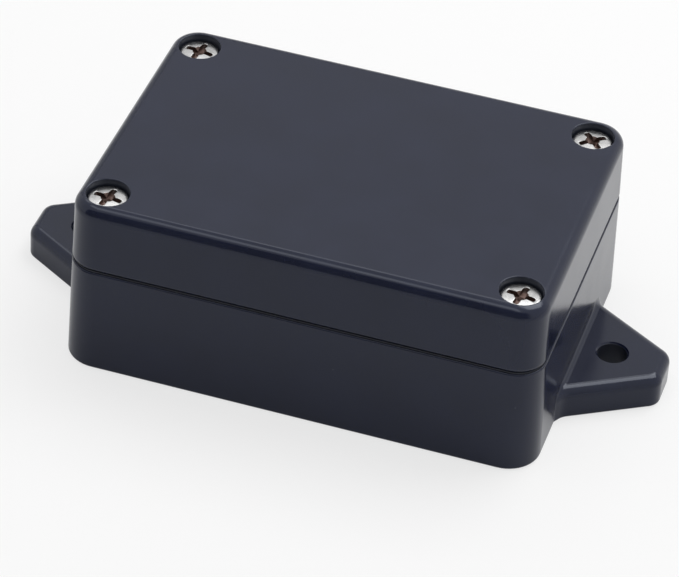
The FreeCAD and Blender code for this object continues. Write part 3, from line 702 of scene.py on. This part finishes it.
# %% [markdown]
# The rim of the recess is bevelled by a few hundredths of a millimetre, because the
# real edge is not a knife edge and catches a thin bright line. The edges to bevel are
# those that lie on the crown and have a steep face on one side.

# %% The rim of the recess
RECESS_REACH = 3.1 * MM
NEAR_CROWN = 0.03 * MM
SHARP_COSINE = 0.7
RIM_BEVEL = 0.045 * MM
TOO_SMALL = 0.001 * MM


def select_recess_rim(piece):
    """Selects the edges where the crown breaks off into the recess."""
    mesh = piece.data
    faces_of = {}
    for face in mesh.polygons:
        for key in face.edge_keys:
            faces_of.setdefault(key, []).append(face)
    for edge in mesh.edges:
        beside = faces_of.get(tuple(sorted(edge.vertices)), [])
        on_crown = True
        for end in (mesh.vertices[i].co for i in edge.vertices):
            out = math.hypot(end.x, end.y)
            near = abs(end.z - crown_at(out)) < NEAR_CROWN
            on_crown = on_crown and near and out < RECESS_REACH
        sharp = len(beside) == 2 and beside[0].normal.dot(beside[1].normal) < SHARP_COSINE
        edge.select = on_crown and sharp


in_edit_mode(screw)
bpy.ops.mesh.select_mode(type="EDGE")
out_of_edit_mode(screw)
select_recess_rim(screw)
print("rim edges:", sum(edge.select for edge in screw.data.edges))
bpy.ops.object.mode_set(mode="EDIT")
bpy.ops.mesh.bevel(offset=RIM_BEVEL, segments=2, affect="EDGES", clamp_overlap=True)
bpy.ops.mesh.select_all(action="SELECT")
bpy.ops.mesh.dissolve_degenerate(threshold=TOO_SMALL)
out_of_edit_mode(screw)

# %% [markdown]
# The faces that lie below the crown take the darker steel. The steep walls at the ends
# of the arms keep the bright one, because on the real screws they catch the light.

# %% The inside of the recess
SUNK_BY = 0.06 * MM
END_WALLS_FROM = 1.9 * MM
FACES_INWARDS = -0.5

screw.data.materials.append(bright_steel)
screw.data.materials.append(recess_steel)
for face in screw.data.polygons:
    out = math.hypot(face.center.x, face.center.y)
    sunk = 0 < face.center.z < crown_at(out) - SUNK_BY
    outwards = Vector((face.center.x, face.center.y, 0)).normalized()
    end_wall = out > END_WALLS_FROM and face.normal.dot(outwards) < FACES_INWARDS
    if out < RECESS_REACH and sunk and not end_wall:
        face.material_index = 1
print("dark faces:", sum(face.material_index for face in screw.data.polygons))

# %% [markdown]
# ## The thread
#
# A rolled metric thread is one ridge wound round the shank. A narrow strip with the
# ridge's cross-section stands on edge beside the shank, the Screw modifier winds it up
# the axis, and its two open ends are filled.

# %% The strip that is wound
THREAD_TURNS = 20
THREAD_START = -SCREW_LENGTH + 0.55 * MM
RIDGE_FOOT = THREAD_ROOT - 0.12 * MM
RIDGE_HEIGHT = 0.62 * MM
CREST_SHARE = 0.16
AT_CREST = THREAD_CREST - 0.01 * MM


def ridge_section():
    """An open outline of the ridge: wide at the shank, narrow at its crest."""
    bpy.ops.object.select_all(action="DESELECT")
    bpy.ops.mesh.primitive_plane_add(
        size=1.0, location=((RIDGE_FOOT + THREAD_CREST) / 2, 0, THREAD_START))
    ridge = bpy.context.object
    ridge.rotation_euler = (math.pi / 2, 0, 0)
    ridge.scale = (THREAD_CREST - RIDGE_FOOT, RIDGE_HEIGHT, 1)
    set_in_mesh(ridge, "screw_thread")
    in_edit_mode(ridge)
    bpy.ops.mesh.select_mode(type="EDGE")
    out_of_edit_mode(ridge)
    corners = ridge.data.vertices
    for edge in ridge.data.edges:
        edge.select = all(corners[i].co.x > AT_CREST for i in edge.vertices)
    bpy.ops.object.mode_set(mode="EDIT")
    bpy.ops.transform.resize(
        value=(1, 1, CREST_SHARE), center_override=(THREAD_CREST, 0, THREAD_START))
    bpy.ops.mesh.select_all(action="SELECT")
    bpy.ops.mesh.delete(type="ONLY_FACE")
    return out_of_edit_mode(ridge)


# %% [markdown]
# The modifier lifts the outline by one pitch for each turn. Where its rings meet they
# are merged, and the open outlines at both ends become faces, so the thread is closed.

# %% Wind the thread
THREAD_STEPS = 32
SEAM = 0.002 * MM


def wind(ridge):
    """Winds the outline into a closed thread and gives it the screw's finish."""
    bpy.ops.object.modifier_add(type="SCREW")
    winding = ridge.modifiers[-1]
    winding.axis = "Z"
    winding.screw_offset = THREAD_PITCH
    winding.iterations = THREAD_TURNS
    winding.steps = winding.render_steps = THREAD_STEPS
    bpy.ops.object.modifier_apply(modifier=winding.name)
    in_edit_mode(ridge)
    bpy.ops.mesh.select_all(action="SELECT")
    bpy.ops.mesh.remove_doubles(threshold=SEAM)
    bpy.ops.mesh.select_all(action="DESELECT")
    bpy.ops.mesh.select_mode(type="EDGE")
    bpy.ops.mesh.select_non_manifold()
    bpy.ops.mesh.edge_face_add()
    bpy.ops.mesh.select_all(action="SELECT")
    bpy.ops.mesh.normals_make_consistent(inside=False)
    out_of_edit_mode(ridge)
    ridge.data.materials.append(bright_steel)
    return ridge


thread = wind(ridge_section())
heights = [vertex.co.z / MM for vertex in thread.data.vertices]
print("thread:", len(thread.data.polygons), "faces, from",
      round(min(heights), 2), "to", round(max(heights), 2), "mm")

# %% [markdown]
# Head, shank and thread become one piece. Edges sharper than 32 degrees stay crisp and
# the rest is smoothed, so the crown looks turned and the recess keeps its corners.

# %% One screw
SMOOTH_BELOW = math.radians(32)

bpy.ops.object.select_all(action="DESELECT")
thread.select_set(True)
screw.select_set(True)
bpy.context.view_layer.objects.active = screw
bpy.ops.object.join()
bpy.ops.object.shade_smooth_by_angle(angle=SMOOTH_BELOW)
print("whole screw:", len(screw.data.polygons), "faces")

# %% [markdown]
# ## Four screws in their seats
#
# Every corner gets its own copy, turned to where the real screw came to rest and set
# on the axis of the solid screw that it stands for. Each rides with that screw's body,
# so it lifts out of the lid with it.

# %% Place the screws
REST_TURNS = {
    "screw_back_right": 41.0, "screw_back_left": -9.0,
    "screw_front_left": -9.0, "screw_front_right": -10.0,
}

for name in screw_names:
    low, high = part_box(name)
    copy = bpy.data.objects.new(f"{name}_detailed", screw.data.copy())
    bpy.context.scene.collection.objects.link(copy)
    seat = Vector(((low[0] + high[0]) / 2, (low[1] + high[1]) / 2, high[2] - HEAD_HEIGHT))
    turn = Matrix.Rotation(math.radians(REST_TURNS[name]), 4, "Z")
    copy.data.transform(Matrix.Translation(seat) @ turn)
    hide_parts(name)
    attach(copy, name)
    print(name, "seat, mm:", [round(v / MM, 2) for v in seat])
bpy.data.objects.remove(screw, do_unlink=True)

# %% [markdown]
# ## The dust lip
#
# The gasket itself lies out of sight in its groove. Outside it, on the rim of the base,
# lies a thin bead of the same rubber that keeps dust out, and it is what one sees at the
# bottom of the joint line. It is a rounded rectangle, inset into a narrow ring and
# pushed up until it nearly meets the lid.

# %% Dust lip
BASE_RIM = 20.1 * MM
JOINT_SIZE = (83.0 * MM, 58.0 * MM)
JOINT_CORNER = 5.4 * MM
LIP_INSET = 0.33 * MM
LIP_WIDTH = 0.4 * MM
LIP_HEIGHT = 0.28 * MM
CORNER_STEPS = 14

bpy.ops.object.select_all(action="DESELECT")
bpy.ops.mesh.primitive_plane_add(size=1.0, location=(0, 0, BASE_RIM))
lip = bpy.context.object
lip.scale = (JOINT_SIZE[0] - 2 * LIP_INSET, JOINT_SIZE[1] - 2 * LIP_INSET, 1)
set_in_mesh(lip, "gasket_dust_lip")
in_edit_mode(lip)
bpy.ops.mesh.select_all(action="SELECT")
bpy.ops.mesh.bevel(
    offset=JOINT_CORNER - LIP_INSET, segments=CORNER_STEPS, affect="VERTICES")
bpy.ops.mesh.select_all(action="SELECT")
bpy.ops.mesh.inset(thickness=LIP_WIDTH, depth=0)
bpy.ops.mesh.delete(type="FACE")
bpy.ops.mesh.select_all(action="SELECT")
bpy.ops.mesh.extrude_region_move(TRANSFORM_OT_translate={"value": (0, 0, LIP_HEIGHT)})
bpy.ops.mesh.select_all(action="SELECT")
bpy.ops.mesh.normals_make_consistent(inside=False)
out_of_edit_mode(lip)
bpy.ops.object.shade_smooth_by_angle(angle=SMOOTH_BELOW)
lip.data.materials.append(matt_rubber)
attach(lip, "base")

# %% [markdown]
# ## Finishes for the solid pieces
#
# Base, lid, gasket and inserts keep their solid shapes, which are right as they are.
# Only their material slots are filled.

# %% Finish the solid pieces
for name, node in nodes.items():
    finish = black_plastic
    if name == "gasket":
        finish = matt_rubber
    elif name.startswith("insert"):
        finish = brass
    elif name.startswith("screw"):
        finish = bright_steel
    node.data.materials.clear()
    node.data.materials.append(finish)
print("solid pieces:", len(nodes))
